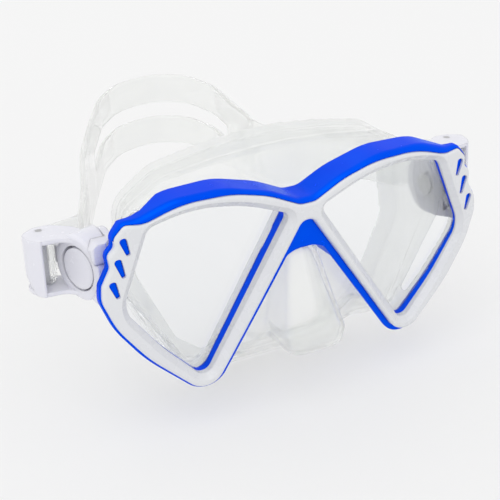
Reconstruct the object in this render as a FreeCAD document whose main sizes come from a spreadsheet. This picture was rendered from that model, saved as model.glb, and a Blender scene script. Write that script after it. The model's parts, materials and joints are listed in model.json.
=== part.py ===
import FreeCAD, Part
import math
import os

# A twin-lens diving mask, in millimetres, +Z up, lenses facing -Y, the wearer's face on the +Y side.
# Everything is drawn about the foot of the lens frame (mid-plane, lowest front corners of the bezel) and
# then moved, so that the row's origin is the centre of the face seal.
# Outlines are rounded polygons: (x, z, corner radius).

Vector = FreeCAD.Vector
os.makedirs("parts", exist_ok=True)
doc = FreeCAD.newDocument("diving_mask")

SIZES = {
    "seal_y": 36.0,             # face seal behind the frame's foot
    "seal_z": 33.0,             # centre of the face seal above the frame's foot
    "front_radius": 470.0,      # the front of the mask is part of an upright cylinder
    "front_crown": -3.0,        # its foremost line
    "joint_radius": 1070.0,     # the face where bezel and frame meet is flatter
    "joint_crown": 2.7,
    "bezel_round": 1.4,
    "bezel_bevel": 2.2,
    "frame_back": 11.0,
    "rim_step": 3.2,            # the frame's outer rim behind the bezel's front
    "rim_thick": 1.3,
    "undercut": 2.2,            # the frame's sides behind the rim are set in
    "trim_step": 0.35,          # brow trim behind the bezel's front
    "trim_round": 2.4,
    "pad_step": 0.9,            # side pads behind the bezel's front
    "lens_front": 6.2,
    "lens_thick": 3.0,
    "lens_grip": 2.0,           # lens edge hidden behind the frame's lip
    "fit_gap": 0.1,
    "skirt_wall": 2.2,
    "flange_thick": 1.6,
    "lip_width": 9.0,
    "strap_thick": 2.5,
    "strap_tall": 33.0,
    "strap_split": 6.6,
    "strap_end_tall": 17.6,
    "hub_y": 23.0,              # swivel axis of the buckles, along X
    "hub_z": 47.7,
    "toe": 20.0,                # the buckles' outer faces look this far forward
    "toe_x": 74.0,              # they turn about a vertical line that crosses the swivel axis here
    "drum_radius": 12.3,
    "drum_inner": 69.2,
    "drum_outer": 79.0,
    "swing_gap": 0.4,
    "recess_radius": 8.4,
    "recess_floor": 75.2,
    "well_radius": 5.0,
    "well_floor": 71.8,
    "arm_inner": 66.4,
    "arm_thick": 2.5,
    "pivot_radius": 3.0,
    "pivot_head": 4.0,
    "running_gap": 0.05,
    "cheek_reach": 10.6,        # cheeks above and below the hub
    "horn_reach": 11.6,
    "cheek_thick": 1.5,
    "button_radius": 7.6,
    "button_thick": 2.4,
    "hinge_x": 77.8,            # hinge of the release button, along Z
    "hinge_s": -6.9,            # behind the hub, along the toed-in face
    "hinge_radius": 0.6,
    "roller_x": 81.0,
    "roller_s": 17.3,
    "roller_radius": 2.2,
    "axle_radius": 1.2,
}
sheet = doc.addObject("Spreadsheet::Sheet", "sizes")
for row, (alias, value) in enumerate(SIZES.items(), start=1):
    sheet.set(f"A{row}", alias)
    sheet.set(f"B{row}", str(value))
    sheet.setAlias(f"B{row}", alias)
doc.recompute()


def size(alias):
    return float(sheet.get(alias))


# ---- outlines -------------------------------------------------------------------------------------------

OPENING = [(5.9, 59.4, 2.6), (24, 66.6, 60), (43, 69.1, 48), (58.9, 64.8, 5), (69.7, 36.2, 10),
           (56.5, 18.3, 80), (41.6, 2.7, 4.0)]
BEZEL_HALF = [(0, 59.7, 4.1), (41.1, -3.8, 8), (62.3, 15.9, 60), (72.4, 29.4, 30), (76.9, 41.0, 9),
              (76.4, 46.6, 3), (73.0, 52.9, 3), (73.6, 57.6, 3), (70.8, 60.4, 2.5), (71.2, 63.8, 3),
              (67.4, 68.0, 2.5), (60.5, 67.4, 12), (47, 72.1, 40), (29, 72.2, 40), (15, 68.6, 40),
              (3, 62.8, 7)]
FRAME_HALF = [(4, 45.0, 12), (7.6, 43.2, 2.6), (39.9, -5.9, 9.5), (63.0, 15.1, 60), (73.1, 28.9, 30),
              (77.6, 40.9, 9.6), (77.0, 46.9, 3.6), (73.6, 53.1, 3.6), (74.2, 57.9, 3.6), (71.4, 60.7, 3.1),
              (71.8, 64.2, 3.6), (67.9, 68.9, 3.1), (62.4, 69.3, 10), (50, 73.9, 25), (31, 74.4, 30),
              (14, 69.8, 40), (3, 64.5, 7)]
SLOTS = [((68.5, 63.6), (66.7, 57.2)), ((70.8, 56.3), (68.9, 49.3)), ((73.3, 48.3), (71.4, 42.0))]
SLOT_TOP, SLOT_FOOT = 1.5, 0.75                # half widths of each tapered slot

# Skirt: (x, z, corner radius) at the flange, neck, crease and rim, each listed from top centre to nose.
SKIRT_SECTIONS = [
    (11.1, [(4, 63.3, 8), (22, 71.2, 25), (50, 73.2, 15), (65.6, 66.6, 6), (70.0, 40, 8), (41, -1.4, 6),
            (28, 14, 5), (15, 6, 4)]),
    (15.5, [(5, 68.0, 10), (23, 72.4, 25), (47, 72.4, 15), (61.6, 65.2, 8), (66.2, 40, 9), (43, -0.6, 7),
            (29, 10, 6), (16, 2, 4)]),
    (22.0, [(6, 77.4, 12), (24, 76.3, 25), (45, 73.6, 15), (61, 64.6, 10), (64.4, 38, 12), (45, -2, 9),
            (31, 0, 8), (17, -5, 5)]),
    (36.0, [(6, 80.4, 14), (24, 78.6, 25), (44, 75.0, 15), (59, 64.6, 12), (62.0, 32, 14), (46, -2, 12),
            (33, -12, 10), (18, -15.2, 8)]),
]
# Nose pocket: height, half width, front, corner radius.
POCKET_SECTIONS = [(4.0, 8.2, -4.6, 4.6), (7.0, 11.3, -8.4, 5.0), (13.0, 12.3, -9.8, 5.0),
                   (27.0, 9.5, -3.6, 3.6), (43.4, 6.4, 2.2, 2.6)]
POCKET_BACK = 14.0

# Strap route in plan, each (x, y, bend radius): from where it leaves the right buckle, round the back of the
# head, to where it enters the left one. The slack strap rests off centre.
STRAP_LOOP = [(84.6, 42.7, 3.6), (67.5, 46.5, 6), (56, 68, 16), (36, 74, 12), (24, 85, 12), (27, 110, 50),
              (31, 138, 40), (27.5, 160, 15), (16, 171, 15), (-4, 167.5, 30), (-20, 149, 60), (-38, 114, 120),
              (-50.5, 88, 30), (-58, 68, 18), (-67.5, 46.5, 6), (-84.6, 42.7, 3.6)]
STRAP_TAIL = 20.5                              # its tails end this far behind the hub


def mirrored(half):
    """Close a half outline, listed from one point near the mid-plane round to the other."""
    other = [(-x, z, r) for x, z, r in reversed(half) if x]
    return half + other


def grow(points, distance):
    """Move every side of a rounded polygon outwards and keep the corners concentric."""
    count = len(points)
    area = sum(points[i][0] * points[(i + 1) % count][1] - points[(i + 1) % count][0] * points[i][1]
               for i in range(count))
    turn = 1.0 if area > 0 else -1.0
    grown = []
    for i, (x, z, radius) in enumerate(points):
        before = points[i - 1]
        after = points[(i + 1) % count]
        first = Vector(x - before[0], z - before[1], 0).normalize()
        second = Vector(after[0] - x, after[1] - z, 0).normalize()
        normal_1 = Vector(first.y, -first.x, 0) * turn
        normal_2 = Vector(second.y, -second.x, 0) * turn
        move = (normal_1 + normal_2) * (distance / (1 + normal_1.dot(normal_2)))
        convex = first.cross(second).z * turn > 0
        new_radius = radius + distance if convex else radius - distance
        grown.append((x + move.x, z + move.y, max(new_radius, 0.05)))
    return grown


def rounded(points, closed=True):
    """Lines and tangent arcs of a rounded polygon, in a sketch's own plane."""
    count = len(points)
    corners = []
    for i, (x, y, radius) in enumerate(points):
        here = Vector(x, y, 0)
        if radius == 0:
            corners.append((here, None, here))
            continue
        before = Vector(*points[i - 1][:2], 0)
        after = Vector(*points[(i + 1) % count][:2], 0)
        back = (before - here).normalize()
        ahead = (after - here).normalize()
        half_angle = back.getAngle(ahead) / 2
        reach = radius / math.tan(half_angle)
        bisector = (back + ahead).normalize()
        middle = here + bisector * (radius / math.sin(half_angle) - radius)
        corners.append((here + back * reach, middle, here + ahead * reach))
    pieces = []
    for i, (start, middle, end) in enumerate(corners):
        if middle is not None:
            pieces.append(Part.Arc(start, middle, end))
        if closed or i < count - 1:
            target = corners[(i + 1) % count][0]
            if end.distanceToPoint(target) > 1e-6:
                pieces.append(Part.LineSegment(end, target))
    return pieces


def slot_points(top, foot):
    """A tapered slot with round ends, from its top centre to its foot centre."""
    (x1, z1), (x2, z2) = top, foot
    along = Vector(x2 - x1, z2 - z1, 0).normalize()
    side = Vector(along.y, -along.x, 0)
    corners = []
    ends = ((top, SLOT_TOP, 1), (foot, SLOT_FOOT, 1), (foot, SLOT_FOOT, -1), (top, SLOT_TOP, -1))
    for centre, half, sign in ends:
        corners.append((centre[0] + side.x * half * sign, centre[1] + side.y * half * sign, half * 0.8))
    return corners


# ---- features -------------------------------------------------------------------------------------------

def sketch_xz(name, loops, depth):
    """A free sketch in the plane Y = depth, local x to X and local y to Z."""
    sketch = doc.addObject("Sketcher::SketchObject", name)
    sketch.Placement = FreeCAD.Placement(Vector(0, depth, 0), FreeCAD.Rotation(Vector(1, 0, 0), 90))
    for loop in loops:
        sketch.addGeometry(rounded(loop), False)
    return sketch


def slab(name, loops, start, end):
    """Outline loops pushed along +Y from start to end."""
    solid = doc.addObject("Part::Extrusion", name)
    solid.Base = sketch_xz(name + "_outline", loops, start)
    solid.DirMode = "Custom"
    solid.Dir = Vector(0, 1, 0)
    solid.LengthFwd = end - start
    solid.Solid = True
    return solid


def cylinder(name, axis, radius, height, base):
    """A cylinder along X, Y or Z; every size is an expression on the sheet."""
    solid = doc.addObject("Part::Cylinder", name)
    turn = {"X": FreeCAD.Rotation(Vector(0, 1, 0), 90), "Y": FreeCAD.Rotation(Vector(1, 0, 0), -90),
            "Z": FreeCAD.Rotation()}[axis]
    solid.Placement = FreeCAD.Placement(Vector(0, 0, 0), turn)
    solid.setExpression("Radius", radius)
    solid.setExpression("Height", height)
    for key, value in zip(("x", "y", "z"), base):
        solid.setExpression(f".Placement.Base.{key}", value)
    return solid


def box(name, low, high):
    """A box between two corners given as expressions on the sheet."""
    solid = doc.addObject("Part::Box", name)
    for key, a, b, side in zip(("x", "y", "z"), low, high, ("Length", "Width", "Height")):
        solid.setExpression(f".Placement.Base.{key}", a)
        solid.setExpression(side, f"({b}) - ({a})")
    return solid


def prism_z(name, points, low, high):
    """A plan outline pushed up from low to high."""
    sketch = doc.addObject("Sketcher::SketchObject", name + "_outline")
    sketch.addGeometry(rounded(points), False)
    sketch.setExpression(".Placement.Base.z", low)
    solid = doc.addObject("Part::Extrusion", name)
    solid.Base = sketch
    solid.DirMode = "Custom"
    solid.Dir = Vector(0, 0, 1)
    solid.setExpression("LengthFwd", f"({high}) - ({low})")
    solid.Solid = True
    return solid


def fuse(name, shapes):
    result = doc.addObject("Part::MultiFuse", name)
    result.Shapes = shapes
    return result


def cut(name, base, tools):
    """Base minus one or more tools."""
    result = doc.addObject("Part::Cut", name)
    result.Base = base
    result.Tool = tools[0] if len(tools) == 1 else fuse(name + "_tools", tools)
    return result


def common(name, base, tool):
    result = doc.addObject("Part::Common", name)
    result.Base = base
    result.Tool = tool
    return result


def feature(name, shape):
    """A shape made in code from sizes on the sheet."""
    result = doc.addObject("Part::Feature", name)
    result.Shape = shape
    return result


NODES = {}


def node(label, result):
    """Name a finished sub-part and move it from the frame's foot to the face seal's centre."""
    result.Label = label
    placed = {path.lstrip("."): rule for path, rule in result.ExpressionEngine}
    for key in ("y", "z"):
        drawn = placed.get(f"Placement.Base.{key}", "0")
        result.setExpression(f".Placement.Base.{key}", f"{drawn} - sizes.seal_{key}")
    NODES[label] = result
    return result


def both_sides(label, result):
    """The right-hand sub-part and its mirror image on the left."""
    node(label + "_right", result)
    twin = doc.addObject("Part::Mirroring", label + "_twin")
    twin.Source = result
    twin.Normal = Vector(1, 0, 0)
    twin.Label = label + "_left"
    NODES[twin.Label] = twin


# ---- front: bezel, frame and lenses ---------------------------------------------------------------------

FRONT, BACK = -6.0, 16.0                       # more than the depth of the hard parts
left_opening = [(-x, z, r) for x, z, r in OPENING]
openings = [OPENING, left_opening]
slots = [slot_points(top, foot) for top, foot in SLOTS]
slots += [[(-x, z, r) for x, z, r in loop] for loop in slots]


def front_drum(name, step):
    """The upright cylinder whose face is the mask's front, set back by a step."""
    return cylinder(name, "Z", f"sizes.front_radius - ({step})", "200",
                    ("0", "sizes.front_radius + sizes.front_crown", "-60"))


def joint_drum(name):
    """The flatter upright cylinder whose face divides bezel from frame."""
    return cylinder(name, "Z", "sizes.joint_radius", "200",
                    ("0", "sizes.joint_radius + sizes.joint_crown", "-60"))


def curved_slab(name, loops, front_step, end=BACK):
    """Outline loops from a set-back of the curved front to a depth."""
    return common(name, slab(name + "_blank", loops, FRONT, end), front_drum(name + "_front", front_step))


def front_edges(solid, step, near_openings):
    """Edges on the curved front, either round the lens openings or round the outside."""
    doc.recompute()
    centre_y = size("front_radius") + size("front_crown")
    radius = size("front_radius") - step
    found = []
    for index, edge in enumerate(solid.Shape.Edges, start=1):
        samples = [edge.valueAt(edge.FirstParameter + (edge.LastParameter - edge.FirstParameter) * k / 4)
                   for k in range(5)]
        on_front = all(abs(math.hypot(p.x, p.y - centre_y) - radius) < 0.02 for p in samples)
        if not on_front:
            continue
        middle = samples[2]
        loop = [Part.Wire([g.toShape() for g in rounded(points)]) for points in openings]
        flat = Part.Vertex(middle.x, middle.z, 0)
        distance = min(wire.distToShape(flat)[0] for wire in loop)
        if (distance < 0.05) == near_openings:
            found.append(index)
    return found


def rounded_front(name, solid, step, near_openings, amount, kind="Part::Fillet"):
    """Round or bevel front edges by an amount."""
    edges = front_edges(solid, step, near_openings)
    result = doc.addObject(kind, name)
    result.Base = solid
    result.Edges = [(index, amount, amount) for index in edges]
    doc.recompute()
    return result


bezel_thick = curved_slab("bezel_thick", [mirrored(BEZEL_HALF)] + openings, "0")
bezel_blank = cut("bezel_blank", bezel_thick, [joint_drum("bezel_rear")])
bezel_rounded = rounded_front("bezel_rounded", bezel_blank, 0, False, size("bezel_round"))
bezel_bevelled = rounded_front("bezel_bevelled", bezel_rounded, 0, True, size("bezel_bevel"), "Part::Chamfer")
slot_tool = slab("slot_tool", slots, FRONT, BACK)
node("bezel", cut("bezel_shape", bezel_bevelled, [slot_tool]))

frame_outline = mirrored(FRAME_HALF)
bezel_room = slab("bezel_room", [grow(mirrored(BEZEL_HALF), 0.06)], FRONT - 1, BACK)
frame_ring = common("frame_ring", slab("frame_blank", [frame_outline] + openings, FRONT, size("frame_back")),
                    joint_drum("frame_front"))
frame_rim = cut("frame_rim", curved_slab("rim_blank", [frame_outline], "sizes.rim_step", 5.6), [bezel_room])
trim_blank = curved_slab("trim_blank", [frame_outline], "sizes.trim_step", 5.6)
trim_rounded = rounded_front("trim_rounded", trim_blank, size("trim_step"), False, size("trim_round"))
below_brow = box("below_brow", ("-90", "-12", "-20"), ("90", "20", "62.8"))
trim = cut("trim", trim_rounded, [bezel_room, below_brow])
pads = curved_slab("pads", [grow(loop, -0.12) for loop in slots], "sizes.pad_step", 7)
rabbet = slab("rabbet", [grow(loop, size("lens_grip") + size("fit_gap")) for loop in openings],
              size("lens_front"), BACK)

# The sides and nose legs are set in behind the rim, but neither the brow nor the web over the nose is.
side_strip = slab("side_strip", [grow(frame_outline, 4), grow(frame_outline, -size("undercut"))], FRONT, BACK)
side_reach = common("side_reach", side_strip, front_drum("rim_back", "sizes.rim_step + sizes.rim_thick"))
nose_keep = box("nose_keep", ("-11", "-12", "36"), ("11", "20", "48"))
brow_keep = prism_z("brow_keep", [(-67, -12, 0), (67, -12, 0), (65, 4, 0), (50, 12, 0), (-50, 12, 0),
                                  (-65, 4, 0)], "62", "90")
undercut = cut("side_undercut", side_reach, [nose_keep, brow_keep])
drum_room = cylinder("drum_room", "X", "sizes.drum_radius + sizes.swing_gap", "200",
                     ("-100", "sizes.hub_y", "sizes.hub_z"))
frame_solid = fuse("frame_solid", [frame_ring, frame_rim, trim, pads])
node("frame", cut("frame_shape", frame_solid, [rabbet, undercut, drum_room]))


def lens(label, loop):
    """A flat lens: a body with one padded sketch."""
    body = doc.addObject("PartDesign::Body", label + "_body")
    sketch = body.newObject("Sketcher::SketchObject", label + "_outline")
    plane = next(f for f in body.Origin.OriginFeatures if f.Role == "XZ_Plane")
    sketch.AttachmentSupport = [(plane, "")]
    sketch.MapMode = "FlatFace"
    sketch.setExpression(".AttachmentOffset.Base.z", "-sizes.lens_front")
    sketch.addGeometry(rounded(grow(loop, size("lens_grip"))), False)
    pad = body.newObject("PartDesign::Pad", label + "_pad")
    pad.Profile = sketch
    pad.Reversed = True
    pad.setExpression("Length", "sizes.lens_thick")
    body.Tip = pad
    node(label, body)


lens("lens_right", OPENING)
lens("lens_left", left_opening)


# ---- skirt ----------------------------------------------------------------------------------------------

def wire_at(points, depth):
    """A rounded polygon as a wire in the plane Y = depth."""
    wire = Part.Wire([piece.toShape() for piece in rounded(points)])
    wire.Placement = FreeCAD.Placement(Vector(0, depth, 0), FreeCAD.Rotation(Vector(1, 0, 0), 90))
    return wire


def pocket_wire(height, half, front, radius, inset):
    """A round-cornered box section of the nose pocket at one height."""
    points = [(-half + inset, front + inset, radius - inset), (half - inset, front + inset, radius - inset),
              (half - inset, POCKET_BACK + inset, radius - inset),
              (-half + inset, POCKET_BACK + inset, radius - inset)]
    wire = Part.Wire([piece.toShape() for piece in rounded(points)])
    wire.translate(Vector(0, 0, height))
    return wire


def skirt_shape():
    """Silicone body: flange behind the lenses, walls back to the face seal, its lip and the nose pocket."""
    wall = size("skirt_wall")
    outlines = [(depth, mirrored(points)) for depth, points in SKIRT_SECTIONS]
    outer = Part.makeLoft([wire_at(points, depth) for depth, points in outlines], True, True)
    rim_depth, rim = outlines[-1]
    inner_depths = [size("frame_back") + size("flange_thick")] + [depth for depth, _ in outlines[1:]]
    inner = [wire_at(grow(points, -wall), depth) for depth, (_, points) in zip(inner_depths, outlines)]
    inner.append(wire_at(grow(rim, -wall), rim_depth + 1))
    cavity = Part.makeLoft(inner, True, True)
    body = outer.cut(cavity)
    lip_out = Part.Face(wire_at(grow(rim, -0.8), rim_depth - size("flange_thick")))
    lip = lip_out.extrude(Vector(0, size("flange_thick"), 0))
    lip_hole = Part.Face(wire_at(grow(rim, -size("lip_width")), rim_depth - 5)).extrude(Vector(0, 10, 0))
    body = body.fuse(lip.cut(lip_hole))
    for loop in openings:
        plug_depth = size("lens_front") + size("lens_thick") + size("fit_gap")
        plug_face = Part.Face(wire_at(grow(loop, size("lens_grip")), plug_depth))
        body = body.fuse(plug_face.extrude(Vector(0, size("frame_back") + 0.5 - plug_depth, 0)))
        body = body.cut(Part.Face(wire_at(grow(loop, 0.3), plug_depth - 1)).extrude(Vector(0, 6, 0)))
    pocket = Part.makeLoft([pocket_wire(*section, 0) for section in POCKET_SECTIONS], True, True)
    heights = [section[0] for section in POCKET_SECTIONS]
    inner_heights = [heights[0] + 1.8, heights[1] + 0.9] + heights[2:-1] + [heights[-1] - 1.8]
    hollow_wires = [pocket_wire(height, *section[1:], 1.8)
                    for height, section in zip(inner_heights, POCKET_SECTIONS)]
    hollow = Part.makeLoft(hollow_wires, True, True)
    return body.fuse(pocket.cut(cavity)).cut(hollow).removeSplitter()


node("skirt", feature("skirt_shape", skirt_shape()))


# ---- strap ----------------------------------------------------------------------------------------------

def toed_in(x, s_back):
    """Where a point of a buckle's toed-in half lands in plan: x outwards, s_back behind the hub."""
    turn = math.radians(size("toe"))
    out = x - size("toe_x")
    return (size("toe_x") + out * math.cos(turn) + s_back * math.sin(turn),
            size("hub_y") - out * math.sin(turn) + s_back * math.cos(turn))


def strap_route():
    """The whole route: right tail, round the roller, the loop, and the same on the left."""
    bend = size("roller_radius") + 0.3 + size("strap_thick") / 2
    outer = size("roller_x") + bend
    inner = size("roller_x") - bend
    front = size("roller_s") - bend
    right = [(*toed_in(outer, STRAP_TAIL), 0), (*toed_in(outer, front), bend), (*toed_in(inner, front), bend)]
    left = [(-x, y, radius) for x, y, radius in reversed(right)]
    return right + STRAP_LOOP + left


def offset_route(route, distance):
    """The strap's route moved sideways, bends kept concentric."""
    moved = []
    for i, (x, y, radius) in enumerate(route):
        here = Vector(x, y, 0)
        before = Vector(*route[i - 1][:2], 0) if i else None
        after = Vector(*route[i + 1][:2], 0) if i < len(route) - 1 else None
        first = (here - before).normalize() if before else (after - here).normalize()
        second = (after - here).normalize() if after else first
        normal_1 = Vector(-first.y, first.x, 0)
        normal_2 = Vector(-second.y, second.x, 0)
        move = (normal_1 + normal_2) * (distance / (1 + normal_1.dot(normal_2)))
        turning = first.cross(second).z
        new_radius = radius - distance if turning > 0 else radius + distance
        moved.append((x + move.x, y + move.y, new_radius if radius else 0))
    return moved


def strap_shape():
    """One ribbon on edge: full height and split in two behind the head, narrow at the buckles."""
    half = size("strap_thick") / 2
    route = strap_route()
    one_side = rounded(offset_route(route, half), False)
    other_side = rounded(offset_route(route, -half), False)
    start = Part.LineSegment(other_side[0].StartPoint, one_side[0].StartPoint)
    end = Part.LineSegment(one_side[-1].EndPoint, other_side[-1].EndPoint)
    edges = [piece.toShape() for piece in one_side + [end] + other_side + [start]]
    ribbon = Part.Face(Part.Wire(Part.__sortEdges__(edges))).extrude(Vector(0, 0, size("strap_tall")))
    ribbon.translate(Vector(0, 0, size("hub_z") - size("strap_tall") / 2))
    tall = size("strap_tall") / 2 + 1
    narrow = size("strap_end_tall") / 2
    profile = [(20, narrow), (56, narrow), (96, tall), (190, tall)]
    corners = [Vector(-100, y, size("hub_z") + z) for y, z in profile]
    corners += [Vector(-100, y, size("hub_z") - z) for y, z in reversed(profile)]
    side_view = Part.Face(Part.makePolygon(corners + corners[:1])).extrude(Vector(200, 0, 0))
    split = Part.makeBox(200, 100, size("strap_split"))
    split.translate(Vector(-100, 116, size("hub_z") - size("strap_split") / 2))
    return ribbon.common(side_view).cut(split)


node("strap", feature("strap_shape", strap_shape()))


# ---- buckles, drawn on the right ------------------------------------------------------------------------

HUB = ("sizes.hub_y", "sizes.hub_z")
HUB_LOW, HUB_HIGH = "sizes.hub_z - sizes.drum_radius", "sizes.hub_z + sizes.drum_radius"
CHEEK_LOW, CHEEK_HIGH = "sizes.hub_z - sizes.cheek_reach", "sizes.hub_z + sizes.cheek_reach"


def behind(points):
    """Plan points given as (x, distance behind the hub, radius)."""
    return [(x, size("hub_y") + s_back, radius) for x, s_back, radius in points]


def toe_in(shape):
    """Turn a finished solid about the toe line, so that its outer face looks forward."""
    x, y = toed_in(0, -size("hub_y"))
    shape.Placement = FreeCAD.Placement(Vector(x, y, 0), FreeCAD.Rotation(Vector(0, 0, 1), -size("toe")))
    shape.setExpression(".Placement.Base.y", str(y))
    return shape


# Base: two horns that meet the frame and a plate inside the drum.
base_blank = prism_z("base_blank", [(71.2, 11.02, 0.3), (76.4, 11.02, 1.0), (78.4, 24, 0.5), (66.4, 24, 0.3),
                                    (66.4, 17.6, 1.0)],
                     "sizes.hub_z - sizes.horn_reach", "sizes.hub_z + sizes.horn_reach")
base_room = cylinder("base_room", "X", "sizes.drum_radius + sizes.swing_gap", "20",
                     ("sizes.arm_inner + sizes.arm_thick",) + HUB)
base_round = cylinder("base_round", "X", "sizes.drum_radius - 0.3", "sizes.arm_thick",
                      ("sizes.arm_inner",) + HUB)
base_plate = prism_z("base_plate", [(66.4, 17.6, 0), (68.9, 14.2, 0), (68.9, 40, 0), (66.4, 40, 0)],
                     HUB_LOW, HUB_HIGH)
base_disc = common("base_disc", base_plate, base_round)
base_bore = cylinder("base_bore", "X", "sizes.pivot_radius", "20", ("60",) + HUB)
base_barrel = cylinder("base_barrel", "Y", "14", "40", ("sizes.arm_inner", "0", "sizes.hub_z"))
base_horns = cut("base_horns", common("base_rounded", base_blank, base_barrel), [base_room])
both_sides("buckle_base", cut("buckle_base_shape", fuse("base_solid", [base_horns, base_disc]), [base_bore]))

# Swivel pin: a rivet through the base plate, headed in the housing's well.
pin_shank = cylinder("pin_shank", "X", "sizes.pivot_radius", "sizes.well_floor - sizes.arm_inner + 0.5",
                     ("sizes.arm_inner - 0.3",) + HUB)
pin_head = cylinder("pin_head", "X", "sizes.pivot_head", "1.05", ("sizes.well_floor + 0.1",) + HUB)
pin_foot = cylinder("pin_foot", "X", "sizes.pivot_radius + 1", "0.8", ("sizes.arm_inner - 0.8",) + HUB)
both_sides("swivel_pin", fuse("swivel_pin_shape", [pin_shank, pin_head, pin_foot]))

# Housing: drum, two cheeks and the outer guard, toed in; then the hub is bored square to the swivel axis.
drum = cylinder("drum", "X", "sizes.drum_radius", "15", ("sizes.drum_outer - 15",) + HUB)
doc.recompute()
drum_rounded = doc.addObject("Part::Fillet", "drum_rounded")
drum_rounded.Base = drum
drum_rim = [i for i, edge in enumerate(drum.Shape.Edges, start=1)
            if edge.BoundBox.XLength < 0.01 and edge.CenterOfMass.x > size("drum_outer") - 0.1]
drum_rounded.Edges = [(index, 1.8, 1.8) for index in drum_rim]
CHEEK = behind([(71, 0, 0.5), (78.6, 0, 0.5), (80.6, 5.6, 6), (86.8, 8.2, 3.5), (88.6, 13.5, 8),
                (87.2, 19.2, 3), (81, 20.9, 6), (75.6, 18.6, 4), (71, 10, 5)])
cheek_low = prism_z("cheek_low", CHEEK, CHEEK_LOW, CHEEK_LOW + " + sizes.cheek_thick")
cheek_high = prism_z("cheek_high", CHEEK, CHEEK_HIGH + " - sizes.cheek_thick", CHEEK_HIGH)
GUARD = behind([(86.5, 8.6, 0.3), (87.6, 8.2, 0.6), (88.9, 13.5, 14), (87.4, 19.0, 0.6), (86.3, 18.8, 0.3),
                (86.7, 13.5, 20)])
guard_bar = prism_z("guard_bar", GUARD, CHEEK_LOW, CHEEK_HIGH)
GUARD_SIDE = [(7, -13, 0), (10, -13, 3), (21, -2, 5), (21, 11.4, 4), (7, 11.4, 0)]
guard_outline = doc.addObject("Sketcher::SketchObject", "guard_outline")
guard_outline.addGeometry(rounded(GUARD_SIDE), False)
guard_outline.Placement = FreeCAD.Placement(Vector(84, size("hub_y"), size("hub_z")),
                                            FreeCAD.Rotation(Vector(1, 1, 1), 120))
guard_side = doc.addObject("Part::Extrusion", "guard_side")
guard_side.Base = guard_outline
guard_side.DirMode = "Custom"
guard_side.Dir = Vector(1, 0, 0)
guard_side.LengthFwd = 8
guard_side.Solid = True
guard = common("guard", guard_bar, guard_side)
recess = cylinder("recess", "X", "sizes.recess_radius", "10", ("sizes.recess_floor",) + HUB)
arm_slot = box("arm_slot", ("70.6", "sizes.hub_y + 3.6", "sizes.hub_z - 3.3"),
               ("sizes.recess_floor + 0.1", "sizes.hub_y + 18", "sizes.hub_z + 3.3"))
hinge_hole = cylinder("hinge_hole", "Z", "sizes.hinge_radius", "12.4",
                      ("sizes.hinge_x", "sizes.hub_y + sizes.hinge_s", "sizes.hub_z - 6.2"))
axle_hole = cylinder("axle_hole", "Z", "sizes.axle_radius", "30",
                     ("sizes.roller_x", "sizes.hub_y + sizes.roller_s", "sizes.hub_z - 15"))
housing_solid = fuse("housing_solid", [drum_rounded, cheek_low, cheek_high, guard])
housing_toed = cut("housing_toed", housing_solid, [recess, arm_slot, hinge_hole, axle_hole])
toe_in(housing_toed)
inboard = box("inboard", ("50", "-10", "0"), ("sizes.drum_inner", "90", "90"))
ahead_box = box("ahead_box", ("60", "0", "20"), ("95", "sizes.hub_y", "80"))
swing_round = cylinder("swing_round", "X", "sizes.drum_radius", "50", ("55",) + HUB)
ahead = cut("ahead", ahead_box, [swing_round])
well = cylinder("well", "X", "sizes.well_radius", "5.5", ("sizes.well_floor",) + HUB)
pivot_bore = cylinder("pivot_bore", "X", "sizes.pivot_radius + sizes.running_gap", "14", ("60",) + HUB)
both_sides("buckle_housing", cut("buckle_housing_shape", housing_toed, [inboard, ahead, well, pivot_bore]))

# Release button: a rocking disc with a toothed arm that reaches back to the strap, and its hinge pin.
disc = cylinder("disc", "X", "sizes.button_radius", "sizes.button_thick",
                ("sizes.drum_outer - sizes.button_thick", "sizes.hub_y - 0.3", "sizes.hub_z"))
arm_drop = box("arm_drop", ("73.2", "sizes.hub_y + 4.5", "sizes.hub_z - 3"),
               ("77", "sizes.hub_y + 6.7", "sizes.hub_z + 3"))
arm_run = box("arm_run", ("73.2", "sizes.hub_y + 4.5", "sizes.hub_z - 3"),
              ("75.1", "sizes.hub_y + 17.6", "sizes.hub_z + 3"))
teeth = [box(f"tooth_{k}", ("75", f"sizes.hub_y + {15.6 + 0.8 * k}", "sizes.hub_z - 3"),
             ("75.6", f"sizes.hub_y + {16.0 + 0.8 * k}", "sizes.hub_z + 3")) for k in range(3)]
hinge_bore = cylinder("hinge_bore", "Z", "sizes.hinge_radius + sizes.running_gap", "20",
                      ("sizes.hinge_x", "sizes.hub_y + sizes.hinge_s", "sizes.hub_z - 10"))
button_solid = fuse("button_solid", [disc, arm_drop, arm_run] + teeth)
button = cut("release_button_shape", button_solid, [hinge_bore])
both_sides("release_button", toe_in(button))
HINGE_AT = [str(v) for v in toed_in(size("hinge_x"), size("hinge_s"))]
both_sides("button_pin", cylinder("button_pin_shape", "Z", "sizes.hinge_radius", "12.4",
                                  (*HINGE_AT, "sizes.hub_z - 6.2")))

# Return spring: a bowed leaf between the swivel pin's head and the button.
LEAF = behind([(73.05, -3.2, 0), (78.1, 0, 2.0), (73.05, 3.2, 0), (73.05, 2.667, 0), (77.26, 0, 1.55),
               (73.05, -2.667, 0)])
both_sides("button_spring", prism_z("button_spring_shape", LEAF, "sizes.hub_z - 2.2", "sizes.hub_z + 2.2"))

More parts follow.
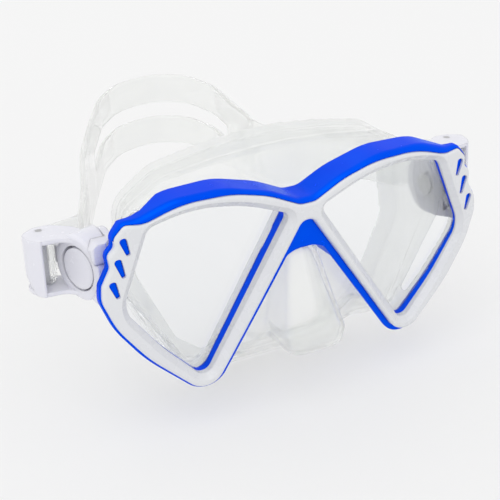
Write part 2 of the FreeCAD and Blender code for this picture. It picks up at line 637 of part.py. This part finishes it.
# Strap roller and its axle.
AXLE_AT = [str(v) for v in toed_in(size("roller_x"), size("roller_s"))]
roller_drum = cylinder("roller_drum", "Z", "sizes.roller_radius", "sizes.strap_end_tall",
                       (*AXLE_AT, "sizes.hub_z - sizes.strap_end_tall / 2"))
roller_bore = cylinder("roller_bore", "Z", "sizes.axle_radius + sizes.running_gap", "40", (*AXLE_AT, "30"))
both_sides("strap_roller", cut("strap_roller_shape", roller_drum, [roller_bore]))
both_sides("roller_pin", cylinder("roller_pin_shape", "Z", "sizes.axle_radius", "2 * sizes.cheek_reach",
                                  (*AXLE_AT, CHEEK_LOW)))

# ---- checks and export ----------------------------------------------------------------------------------

doc.recompute()
for item in doc.Objects:
    if "Invalid" in item.State or "Error" in item.State:
        raise RuntimeError(f"{item.Label}: {item.State}")
for label, item in sorted(NODES.items()):
    shape = item.Shape
    if shape.isNull() or not shape.isValid() or not shape.Solids:
        raise RuntimeError(f"{label} has no valid solid")
    shape.exportStep(f"parts/{label}.step")
    bounds = shape.BoundBox
    print(f"{label}: {len(shape.Solids)} solid, {shape.Volume:.0f} mm3, "
          f"x {bounds.XMin:.1f}..{bounds.XMax:.1f} y {bounds.YMin:.1f}..{bounds.YMax:.1f} "
          f"z {bounds.ZMin:.1f}..{bounds.ZMax:.1f}")
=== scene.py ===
import json
import math

import bmesh
import bpy
from mathutils import Matrix, Vector


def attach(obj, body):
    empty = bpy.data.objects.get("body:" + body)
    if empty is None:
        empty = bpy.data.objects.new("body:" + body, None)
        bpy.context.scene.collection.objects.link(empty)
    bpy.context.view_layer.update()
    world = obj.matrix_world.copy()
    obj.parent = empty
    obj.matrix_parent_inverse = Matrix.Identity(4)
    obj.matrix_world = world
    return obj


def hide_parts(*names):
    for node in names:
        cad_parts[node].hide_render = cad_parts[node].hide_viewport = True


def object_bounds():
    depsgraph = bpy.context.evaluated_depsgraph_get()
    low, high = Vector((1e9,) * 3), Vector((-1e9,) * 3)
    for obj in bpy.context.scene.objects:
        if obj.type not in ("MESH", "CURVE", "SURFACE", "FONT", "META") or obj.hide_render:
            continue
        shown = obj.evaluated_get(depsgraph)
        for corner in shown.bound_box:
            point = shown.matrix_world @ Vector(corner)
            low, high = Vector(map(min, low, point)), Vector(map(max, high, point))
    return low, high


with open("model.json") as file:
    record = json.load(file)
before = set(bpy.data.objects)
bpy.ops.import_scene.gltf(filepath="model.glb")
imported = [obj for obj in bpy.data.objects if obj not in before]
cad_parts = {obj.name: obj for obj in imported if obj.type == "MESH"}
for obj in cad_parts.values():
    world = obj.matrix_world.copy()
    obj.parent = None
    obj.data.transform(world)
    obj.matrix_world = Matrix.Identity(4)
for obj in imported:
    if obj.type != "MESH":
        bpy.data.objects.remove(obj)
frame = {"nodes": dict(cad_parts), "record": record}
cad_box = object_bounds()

# A twin-lens diving mask. The hard parts are the CAD's own; the silicone skirt and the strap are built here.
# Outlines are in millimetres from the foot of the lens frame, as in the part's source, and SEAL moves them
# to the row's origin, the centre of the face seal.
MM = 0.001
SEAL = Vector((0, 36, 33))


def place(x, y, z):
    """A point in the row frame, in metres, from millimetres about the frame's foot."""
    return (Vector((x, y, z)) - SEAL) * MM


# ---- sizes ----------------------------------------------------------------------------------------------

# The opening over each lens, as (x, z, corner radius).
OPENING = [(5.9, 59.4, 2.6), (24, 66.6, 60), (43, 69.1, 48), (58.9, 64.8, 5), (69.7, 36.2, 10),
           (56.5, 18.3, 80), (41.6, 2.7, 4.0)]
# Skirt: each section's depth behind the front, then its half outline as (x, z, corner radius).
SKIRT_SECTIONS = [
    (11.1, [(4, 63.3, 8), (22, 71.2, 25), (50, 73.2, 15), (65.6, 66.6, 6), (70.0, 40, 8), (41, -1.4, 6),
            (28, 14, 5), (15, 6, 4)]),
    (15.5, [(5, 68.0, 10), (23, 72.4, 25), (47, 72.4, 15), (61.6, 65.2, 8), (66.2, 40, 9), (43, -0.6, 7),
            (29, 10, 6), (16, 2, 4)]),
    (22.0, [(6, 77.4, 12), (24, 76.3, 25), (45, 73.6, 15), (61, 64.6, 10), (64.4, 38, 12), (45, -2, 9),
            (31, 0, 8), (17, -5, 5)]),
    (36.0, [(6, 80.4, 14), (24, 78.6, 25), (44, 75.0, 15), (59, 64.6, 12), (62.0, 32, 14), (46, -2, 12),
            (33, -12, 10), (18, -15.2, 8)]),
]
SKIRT_WALL = 2.2
LIP_WIDTH, LIP_THICK, LIP_INSET = 9.0, 1.6, 0.8
LIP_CUT = 5                                 # how far the lip's hole is cut past it on both sides
# Nose pocket: height, half width, front, corner radius.
POCKET_SECTIONS = [(4.0, 8.2, -4.6, 4.6), (7.0, 11.3, -8.4, 5.0), (13.0, 12.3, -9.8, 5.0),
                   (27.0, 9.5, -3.6, 3.6), (43.4, 6.4, 2.2, 2.6)]
POCKET_BACK, POCKET_WALL = 14.0, 1.8
CREASE_PROUD, CREASE_REACH = 0.6, 1.2
CREASE_START = 0.82                         # share of the way from the neck to the crease
LENS_GRIP, GRIP_DEPTHS = 2.0, (9.4, 11.5)
WINDOW_GAP, WINDOW_DEPTHS = 0.3, (8, 14)
SKIRT_VOXEL, SKIRT_ROUNDS = 0.7, 6

# Strap, in plan: the buckles' toed-in ends, and the loop behind the head as (x, y, corner radius).
HUB_Y, TOE, TOE_X = 23.0, math.radians(20), 74.0
ROLLER_OUT, ROLLER_BACK, ROLLER_BEND, STRAP_TAIL = 81.0, 17.3, 3.75, 20.5
STRAP_LOOP = [(84.6, 42.7, 3.6), (67.5, 46.5, 6), (56, 68, 16), (36, 74, 12), (24, 85, 12), (27, 110, 50),
              (31, 138, 40), (27.5, 160, 15), (16, 171, 15), (-4, 167.5, 30), (-20, 149, 60),
              (-38, 114, 120), (-50.5, 88, 30), (-58, 68, 18), (-67.5, 46.5, 6), (-84.6, 42.7, 3.6)]
STRAP_MIDDLE, STRAP_THICK = 47.7, 2.5
STRAP_TALL, STRAP_END_TALL, STRAP_GAP = 33.0, 17.6, 6.6
STRAP_STEP = 0.8                            # spacing of the ribbon's cross sections
WIDENS_FROM, WIDENS_TO, SPLIT_FROM = 56, 96, 116
GAP_ROUND, END_ROUND, EDGE_ROUND = 3.3, 3.0, 0.35
RIB_DEEP, RIB_PITCH, RIBS_FROM, RIBS_TO = 0.3, 3.2, 17, 60
RIBBON_ROWS = [0, 0.12, 0.3, 0.5, 0.7, 0.88, 1.0]

# Studio. The floor gives off light of its own, so that shadows stay faint.
CAMERA_AT = Vector((-0.20538, -0.40818, 0.20359))
CAMERA_RIGHT = Vector((0.8877, -0.4583, -0.0433))
CAMERA_UP = Vector((0.2242, 0.3483, 0.9102))
SENSOR_WIDTH, FOCAL_LENGTH = 36, 93.6
FLOOR_HALF, FLOOR_DROP, FLOOR_LIGHT = 4, 0.0006, 0.45
WORLD_LIGHT = 0.93
SUN_TOWARDS, SUN_LIGHT, SUN_SOFTNESS = (0.45, 0.5, -1.0), 0.62, 1.0


# ---- outlines -------------------------------------------------------------------------------------------

def mirrored(half):
    """Close a half outline, listed from one point near the mid-plane round to the other."""
    return half + [(-x, z, r) for x, z, r in reversed(half)]


def grow(points, distance):
    """Move every side of a rounded polygon outwards and keep the corners concentric."""
    count = len(points)
    area = sum(points[i][0] * points[(i + 1) % count][1] - points[(i + 1) % count][0] * points[i][1]
               for i in range(count))
    turn = 1.0 if area > 0 else -1.0
    grown = []
    for i, (x, z, radius) in enumerate(points):
        here = Vector((x, z))
        first = (here - Vector(points[i - 1][:2])).normalized()
        second = (Vector(points[(i + 1) % count][:2]) - here).normalized()
        normal_1 = Vector((first.y, -first.x)) * turn
        normal_2 = Vector((second.y, -second.x)) * turn
        move = (normal_1 + normal_2) * (distance / (1 + normal_1.dot(normal_2)))
        convex = (first.x * second.y - first.y * second.x) * turn > 0
        new_radius = radius + distance if convex else radius - distance
        grown.append((x + move.x, z + move.y, max(new_radius, 0.05)))
    return grown


def corner_arc(before, here, after, radius, steps):
    """Points along the arc that rounds one corner."""
    if radius == 0:
        return [here.copy()]
    back = (before - here).normalized()
    ahead = (after - here).normalized()
    half = back.angle(ahead) / 2
    centre = here + (back + ahead).normalized() * (radius / math.sin(half))
    start = here + back * (radius / math.tan(half)) - centre
    end = here + ahead * (radius / math.tan(half)) - centre
    sweep = start.angle_signed(end)
    return [centre + Matrix.Rotation(-sweep * k / steps, 2) @ start for k in range(steps + 1)]


def outline(points, arc_steps=6, run_steps=5):
    """Points round a closed rounded polygon, the same number on every arc and run."""
    count = len(points)
    flat = [Vector(p[:2]) for p in points]
    arcs = [corner_arc(flat[i - 1], flat[i], flat[(i + 1) % count], points[i][2], arc_steps)
            for i in range(count)]
    result = []
    for i, arc in enumerate(arcs):
        target = arcs[(i + 1) % count][0]
        result += arc
        result += [arc[-1].lerp(target, k / run_steps) for k in range(1, run_steps)]
    return result


# ---- mesh helpers ---------------------------------------------------------------------------------------

def add_object(name, data):
    """An object in the scene that shows a mesh, lamp or camera."""
    added = bpy.data.objects.new(name, data)
    bpy.context.scene.collection.objects.link(added)
    return added


def mesh_object(name, vertices, faces):
    """An object in the scene from vertices in metres."""
    mesh = bpy.data.meshes.new(name)
    mesh.from_pydata([tuple(v) for v in vertices], [], faces)
    mesh.update()
    return add_object(name, mesh)


def face_outwards(piece):
    """Turn every face of a closed solid outwards."""
    shape = bmesh.new()
    shape.from_mesh(piece.data)
    bmesh.ops.recalc_face_normals(shape, faces=shape.faces)
    shape.to_mesh(piece.data)
    shape.free()


def shade_smooth(piece):
    """Shade a piece as one smooth surface."""
    for polygon in piece.data.polygons:
        polygon.use_smooth = True


def loft(name, rings):
    """A closed solid through rings of equal length, capped at both ends."""
    count = len(rings[0])
    vertices = [v for ring in rings for v in ring]
    faces = []
    for k in range(len(rings) - 1):
        for i in range(count):
            j = (i + 1) % count
            faces.append((k * count + i, k * count + j, (k + 1) * count + j, (k + 1) * count + i))
    faces.append(tuple(reversed(range(count))))
    faces.append(tuple(range((len(rings) - 1) * count, len(rings) * count)))
    piece = mesh_object(name, vertices, faces)
    face_outwards(piece)
    return piece


def bake_modifiers(piece):
    """Replace a piece's mesh by what its modifiers make of it."""
    depsgraph = bpy.context.evaluated_depsgraph_get()
    mesh = bpy.data.meshes.new_from_object(piece.evaluated_get(depsgraph))
    piece.modifiers.clear()
    piece.data = mesh


def combine(piece, tool, operation):
    """Boolean one closed solid with another, which is used up."""
    modifier = piece.modifiers.new("combine", "BOOLEAN")
    modifier.operation = operation
    modifier.solver = "EXACT"
    modifier.object = tool
    bake_modifiers(piece)
    bpy.data.objects.remove(tool)


def soften(piece, voxel, rounds):
    """Remesh evenly and smooth, so that joins blend like moulded rubber."""
    remesh = piece.modifiers.new("remesh", "REMESH")
    remesh.mode = "VOXEL"
    remesh.voxel_size = voxel * MM
    smooth = piece.modifiers.new("smooth", "SMOOTH")
    smooth.factor = 0.5
    smooth.iterations = rounds
    bake_modifiers(piece)
    shade_smooth(piece)


# ---- skirt ----------------------------------------------------------------------------------------------

def ring_at(points, depth):
    """A rounded polygon's points at one depth behind the frame's front."""
    return [place(p.x, depth, p.y) for p in outline(points)]


def slab(name, points, start, end):
    """A straight-sided solid between two depths."""
    return loft(name, [ring_at(points, start), ring_at(points, end)])


def pocket_ring(height, half, front, radius, inset):
    """A round-cornered section of the nose pocket at one height."""
    radius = max(radius - inset, 0.6)
    points = [(-half + inset, front + inset, radius), (half - inset, front + inset, radius),
              (half - inset, POCKET_BACK + inset, radius), (-half + inset, POCKET_BACK + inset, radius)]
    return [place(p.x, p.y, height) for p in outline(points)]


def between(first, second, share):
    """An outline part of the way from one section to the next."""
    return [tuple(a + (b - a) * share for a, b in zip(*corners)) for corners in zip(first, second)]


def build_skirt():
    """Silicone skirt: flange and grip behind the lenses, walls to the face seal, lip and nose pocket."""
    outlines = [(depth, mirrored(half)) for depth, half in SKIRT_SECTIONS]
    (_, neck), (crease, waist), (rim_at, edge) = outlines[1:]
    bead = [(crease - CREASE_REACH, between(neck, waist, CREASE_START)),
            (crease, grow(waist, CREASE_PROUD)),
            (crease + CREASE_REACH, between(waist, edge, CREASE_REACH / (rim_at - crease)))]
    skirt = loft("skirt_silicone", [ring_at(points, depth) for depth, points in
                                    outlines[:2] + bead + outlines[3:]])
    depths = [outlines[0][0] + LIP_THICK] + [depth for depth, _ in outlines[1:]]
    inner = [ring_at(grow(points, -SKIRT_WALL), depth) for depth, (_, points) in zip(depths, outlines)]
    inner.append(ring_at(grow(edge, -SKIRT_WALL), rim_at + 1))
    combine(skirt, loft("cavity", inner), "DIFFERENCE")
    lip = slab("lip", grow(edge, -LIP_INSET), rim_at - LIP_THICK, rim_at)
    combine(lip, slab("lip_hole", grow(edge, -LIP_WIDTH), rim_at - LIP_CUT, rim_at + LIP_CUT), "DIFFERENCE")
    combine(skirt, lip, "UNION")
    pocket = loft("pocket", [pocket_ring(*section, 0) for section in POCKET_SECTIONS])
    combine(pocket, loft("cavity", inner), "DIFFERENCE")
    combine(skirt, pocket, "UNION")
    heights = [section[0] for section in POCKET_SECTIONS]
    inner_heights = [heights[0] + POCKET_WALL, heights[1] + POCKET_WALL / 2, *heights[2:-1],
                     heights[-1] - POCKET_WALL]
    hollow = loft("hollow", [pocket_ring(height, *section[1:], POCKET_WALL)
                             for height, section in zip(inner_heights, POCKET_SECTIONS)])
    combine(skirt, hollow, "DIFFERENCE")
    for side in (-1, 1):
        opening = [(side * x, z, r) for x, z, r in OPENING]
        combine(skirt, slab("grip", grow(opening, LENS_GRIP), *GRIP_DEPTHS), "UNION")
        combine(skirt, slab("window", grow(opening, WINDOW_GAP), *WINDOW_DEPTHS), "DIFFERENCE")
    soften(skirt, SKIRT_VOXEL, SKIRT_ROUNDS)
    return skirt


# ---- strap ----------------------------------------------------------------------------------------------

def toed_in(out, back):
    """Where a point of a buckle's toed-in half lands in plan."""
    out -= TOE_X
    return (TOE_X + out * math.cos(TOE) + back * math.sin(TOE),
            HUB_Y - out * math.sin(TOE) + back * math.cos(TOE))


def strap_route():
    """Right tail, round the roller, the loop behind the head, and the same on the left: (x, y, radius)."""
    inner, outer = ROLLER_OUT - ROLLER_BEND, ROLLER_OUT + ROLLER_BEND
    front = ROLLER_BACK - ROLLER_BEND
    right = [(*toed_in(outer, STRAP_TAIL), 0), (*toed_in(outer, front), ROLLER_BEND),
             (*toed_in(inner, front), ROLLER_BEND)]
    return right + STRAP_LOOP + [(-x, y, radius) for x, y, radius in reversed(right)]


def route_samples(spacing):
    """(distance, point, sideways direction) along the strap's route in plan, evenly spaced."""
    route = strap_route()
    flat = [Vector(p[:2]) for p in route]
    path = []
    for i, (_, _, radius) in enumerate(route):
        if radius == 0:
            path.append(flat[i])
        else:
            path += corner_arc(flat[i - 1], flat[i], flat[i + 1], radius, 24)
    lengths = [0.0]
    for a, b in zip(path, path[1:]):
        lengths.append(lengths[-1] + (b - a).length)
    total = lengths[-1]
    count = round(total / spacing)
    samples = []
    segment = 0
    for k in range(count + 1):
        distance = total * k / count
        while segment < len(path) - 2 and lengths[segment + 1] < distance:
            segment += 1
        share = (distance - lengths[segment]) / max(lengths[segment + 1] - lengths[segment], 1e-9)
        samples.append((distance, path[segment].lerp(path[segment + 1], min(share, 1.0))))
    result = []
    for k, (distance, point) in enumerate(samples):
        along = (samples[min(k + 2, count)][1] - samples[max(k - 2, 0)][1]).normalized()
        result.append((distance, point, Vector((-along.y, along.x))))
    return result


def ease(value, low, high):
    """0 below low, 1 above high, and smooth between."""
    share = min(max((value - low) / (high - low), 0.0), 1.0)
    return share * share * (3 - 2 * share)


def rounding(reach, radius, least=0.0):
    """How far a rounded end has opened, from 0 at its tip to 1 a radius in."""
    return math.sqrt(max(1 - (1 - min(reach / radius, 1)) ** 2, least))


def strap_profile(point, distance, total, from_split):
    """(top, gap, rib) of the ribbon: half height, half the split's height, and depth of the ribbing."""
    from_end = min(distance, total - distance)
    tall = STRAP_END_TALL + (STRAP_TALL - STRAP_END_TALL) * ease(point.y, WIDENS_FROM, WIDENS_TO)
    top = tall / 2 - END_ROUND * (1 - rounding(from_end, END_ROUND, 0.02))
    gap = STRAP_GAP / 2 * rounding(from_split, GAP_ROUND) if from_split > 0 else 0.0
    rib = 0.0
    if RIBS_FROM < from_end < RIBS_TO:
        rib = RIB_DEEP * max(math.cos(distance * math.tau / RIB_PITCH), 0)
    return top, gap, rib


def strap_column(vertices, point, side, profile):
    """Add one cross section's vertices, and return their numbers by (band, face, row)."""
    top, gap, rib = profile
    column = {}
    for band in (1, -1):
        for face in (1, -1):
            for r, row in enumerate(RIBBON_ROWS):
                if r == 0 and not gap and band == -1:
                    column[band, face, r] = column[1, face, 0]
                    continue
                at_edge = row == 1.0 or (row == 0 and gap)
                thick = STRAP_THICK / 2 - (EDGE_ROUND if at_edge else 0.0)
                if 0.1 < row < 0.9 and face == 1:
                    thick -= rib
                offset = point + side * (thick * face)
                column[band, face, r] = len(vertices)
                vertices.append(place(offset.x, offset.y, STRAP_MIDDLE + band * (gap + (top - gap) * row)))
        column[band, "edge"] = len(vertices)
        vertices.append(place(point.x, point.y, STRAP_MIDDLE + band * top))
    return column


def strap_faces(columns):
    """The ribbon's faces between its cross sections, and over its two ends."""
    last = len(RIBBON_ROWS) - 1
    quads = []
    for (here, open_here), (ahead, open_ahead) in zip(columns, columns[1:]):
        for band in (1, -1):
            for face in (1, -1):
                quads += [(here[band, face, r], here[band, face, r + 1],
                           ahead[band, face, r + 1], ahead[band, face, r]) for r in range(last)]
                quads.append((here[band, face, last], here[band, "edge"],
                              ahead[band, "edge"], ahead[band, face, last]))
            if open_here or open_ahead:
                quads.append((here[band, 1, 0], here[band, -1, 0], ahead[band, -1, 0], ahead[band, 1, 0]))
    for column, _ in (columns[0], columns[-1]):
        for band in (1, -1):
            quads += [(column[band, 1, r], column[band, 1, r + 1],
                       column[band, -1, r + 1], column[band, -1, r]) for r in range(last)]
            quads.append((column[band, 1, last], column[band, "edge"],
                          column[band, -1, last], column[band, 1, last]))
    corners = [tuple(dict.fromkeys(quad)) for quad in quads]
    return [face for face in corners if len(face) > 2]


def build_strap():
    """A ribbon on edge with ribbed tails, wide and split in two behind the head."""
    samples = route_samples(STRAP_STEP)
    total = samples[-1][0]
    behind_head = [k for k, (_, point, _) in enumerate(samples) if point.y > SPLIT_FROM]
    vertices = []
    columns = []
    for k, (distance, point, side) in enumerate(samples):
        from_split = min(k - behind_head[0], behind_head[-1] - k) * STRAP_STEP
        profile = strap_profile(point, distance, total, from_split)
        columns.append((strap_column(vertices, point, side, profile), profile[1] > 0))
    strap = mesh_object("strap_silicone", vertices, strap_faces(columns))
    face_outwards(strap)
    subdivision = strap.modifiers.new("subdivision", "SUBSURF")
    subdivision.levels = 1
    subdivision.render_levels = 1
    bake_modifiers(strap)
    shade_smooth(strap)
    return strap


# ---- materials ------------------------------------------------------------------------------------------

def new_material(name, **sockets):
    """A Principled material; keywords are socket names with underscores for spaces."""
    material = bpy.data.materials.new(name)
    material.use_nodes = True
    shader = material.node_tree.nodes["Principled BSDF"]
    for key, value in sockets.items():
        shader.inputs[key.replace("_", " ")].default_value = value
    return material, material.node_tree, shader


def add_noise(tree, scale, detail=4.0):
    """Noise in object space, scale in features per metre."""
    coordinates = tree.nodes.new("ShaderNodeTexCoord")
    noise = tree.nodes.new("ShaderNodeTexNoise")
    noise.inputs["Scale"].default_value = scale
    noise.inputs["Detail"].default_value = detail
    tree.links.new(coordinates.outputs["Object"], noise.inputs["Vector"])
    return noise.outputs["Fac"]


def spread(tree, value, low, high):
    """Map a 0 to 1 value onto a range."""
    mapped = tree.nodes.new("ShaderNodeMapRange")
    mapped.inputs["To Min"].default_value = low
    mapped.inputs["To Max"].default_value = high
    tree.links.new(value, mapped.inputs["Value"])
    return mapped.outputs["Result"]


def tint(tree, value, dark, light):
    """Blend two colours by a 0 to 1 value."""
    ramp = tree.nodes.new("ShaderNodeValToRGB")
    ramp.color_ramp.elements[0].color = (*dark, 1)
    ramp.color_ramp.elements[1].color = (*light, 1)
    tree.links.new(value, ramp.inputs["Fac"])
    return ramp.outputs["Color"]


def add_bump(tree, shader, value, height, edge=0.0):
    """Fine surface relief of a height in metres, over an optional soft edge radius."""
    bump = tree.nodes.new("ShaderNodeBump")
    bump.inputs["Strength"].default_value = 0.6
    bump.inputs["Distance"].default_value = height
    tree.links.new(value, bump.inputs["Height"])
    if edge:
        bevel = tree.nodes.new("ShaderNodeBevel")
        bevel.samples = 4
        bevel.inputs["Radius"].default_value = edge
        tree.links.new(bevel.outputs["Normal"], bump.inputs["Normal"])
    tree.links.new(bump.outputs["Normal"], shader.inputs["Normal"])


def moulded_plastic(name, dark, light, roughness, edge, **sockets):
    """Glossy injection-moulded plastic with faint mottling, uneven gloss and soft edges."""
    material, tree, shader = new_material(name, IOR=1.5, **sockets)
    tree.links.new(tint(tree, add_noise(tree, 60), dark, light), shader.inputs["Base Color"])
    tree.links.new(spread(tree, add_noise(tree, 220), roughness - 0.06, roughness + 0.08),
                   shader.inputs["Roughness"])
    add_bump(tree, shader, add_noise(tree, 2600, 2), 0.00002, edge)
    return material


def clear_silicone(name, milk, haze):
    """Clear liquid-silicone rubber: a glossy skin over a faintly milky body with a flow grain."""
    material, tree, shader = new_material(name, IOR=1.1, Transmission_Weight=haze, Coat_Weight=1.0,
                                          Coat_Roughness=0.06, Alpha=0.72)
    tree.links.new(tint(tree, add_noise(tree, 45), milk, tuple(min(c + 0.05, 1) for c in milk)),
                   shader.inputs["Base Color"])
    tree.links.new(spread(tree, add_noise(tree, 90), 0.08, 0.2), shader.inputs["Roughness"])
    add_bump(tree, shader, add_noise(tree, 420, 2), 0.00003)
    return material


def clear_glass(name):
    """Tempered glass with a faint coating unevenness."""
    material, tree, shader = new_material(name, IOR=1.45, Transmission_Weight=1.0)
    shader.inputs["Base Color"].default_value = (0.965, 0.975, 0.985, 1)
    tree.links.new(spread(tree, add_noise(tree, 40), 0.0, 0.02), shader.inputs["Roughness"])
    return material


def brushed_steel(name):
    """Stainless steel with a fine, uneven mottled grain."""
    material, tree, shader = new_material(name, Metallic=1.0, IOR=2.0)
    colour = tint(tree, add_noise(tree, 500), (0.42, 0.42, 0.43), (0.6, 0.6, 0.61))
    tree.links.new(colour, shader.inputs["Base Color"])
    tree.links.new(spread(tree, add_noise(tree, 900), 0.22, 0.4), shader.inputs["Roughness"])
    add_bump(tree, shader, add_noise(tree, 3000, 2), 0.00001, 0.0001)
    return material


# Light bleeds through the thin white mouldings of the buckles; the blue's gloss takes its body colour.
GLOW = dict(Subsurface_Weight=0.3, Subsurface_Scale=0.004, Subsurface_Radius=(1, 1, 1))
DEPTH = dict(Metallic=0.5, Specular_IOR_Level=0.1, Specular_Tint=(0.02, 0.35, 1, 1))
MATERIALS = {
    "frame_plastic": moulded_plastic("royal_blue_plastic", (0.0, 0.06, 0.82), (0.0, 0.10, 0.95), 0.24,
                                     0.0006, **DEPTH),
    "bezel_plastic": moulded_plastic("white_plastic", (0.70, 0.71, 0.74), (0.75, 0.76, 0.78), 0.26, 0.0004),
    "buckle_plastic": moulded_plastic("buckle_plastic", (0.72, 0.72, 0.79), (0.78, 0.78, 0.84), 0.24, 0.0006,
                                      **GLOW),
    "roller_plastic": moulded_plastic("roller_plastic", (0.7, 0.7, 0.74), (0.76, 0.76, 0.8), 0.45, 0.0003),
    "lens_glass": clear_glass("lens_glass"),
    "clear_silicone": clear_silicone("clear_silicone", (0.93, 0.94, 0.925), 0.8),
    "steel": brushed_steel("steel"),
}


def paint(piece, material):
    """Give a piece one material."""
    piece.data.materials.clear()
    piece.data.materials.append(material)


for entry in frame["record"]["subparts"]:
    node = frame["nodes"][entry["node"]]
    for material_slot in node.material_slots:
        material_slot.link = "OBJECT"
        material_slot.material = MATERIALS[entry["material_slot"]]

skirt = build_skirt()
paint(skirt, MATERIALS["clear_silicone"])
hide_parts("skirt")
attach(skirt, "mask")

strap = build_strap()
paint(strap, MATERIALS["clear_silicone"])
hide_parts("strap")
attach(strap, "headband")

# ---- studio ---------------------------------------------------------------------------------------------

def add_camera():
    """The camera, with a slight roll, as its own three axes."""
    data = bpy.data.cameras.new("camera")
    data.sensor_width = SENSOR_WIDTH
    data.lens = FOCAL_LENGTH
    camera = add_object("camera", data)
    right = CAMERA_RIGHT.normalized()
    back = right.cross(CAMERA_UP).normalized()
    up = back.cross(right)
    camera.matrix_world = Matrix.Translation(CAMERA_AT) @ Matrix((right, up, back)).transposed().to_4x4()
    bpy.context.scene.camera = camera


def add_floor():
    """A plain pale floor just under the lowest point."""
    level = cad_box[0][2] - FLOOR_DROP
    corners = [(FLOOR_HALF * x, FLOOR_HALF * y, level) for x, y in ((-1, -1), (1, -1), (1, 1), (-1, 1))]
    floor = mesh_object("floor", corners, [(0, 1, 2, 3)])
    material, tree, shader = new_material("floor_paper", Roughness=0.9, Specular_IOR_Level=0.1,
                                          Emission_Color=(1, 1, 1, 1), Emission_Strength=FLOOR_LIGHT)
    colour = tint(tree, add_noise(tree, 3), (0.415, 0.415, 0.415), (0.425, 0.425, 0.425))
    tree.links.new(colour, shader.inputs["Base Color"])
    floor.data.materials.append(material)


def add_sun():
    """A far, broad lamp, so that the floor is lit evenly."""
    data = bpy.data.lights.new("sun", "SUN")
    data.energy = SUN_LIGHT
    data.angle = SUN_SOFTNESS
    sun = add_object("sun", data)
    sun.rotation_euler = Vector(SUN_TOWARDS).to_track_quat("-Z", "Y").to_euler()


def add_world():
    """Plain white light from all round."""
    world = bpy.data.worlds.new("studio")
    world.use_nodes = True
    background = world.node_tree.nodes["Background"]
    background.inputs["Color"].default_value = (1, 1, 1, 1)
    background.inputs["Strength"].default_value = WORLD_LIGHT
    bpy.context.scene.world = world


add_camera()
add_floor()
add_world()
add_sun()
bpy.context.scene.view_settings.view_transform = "Standard"
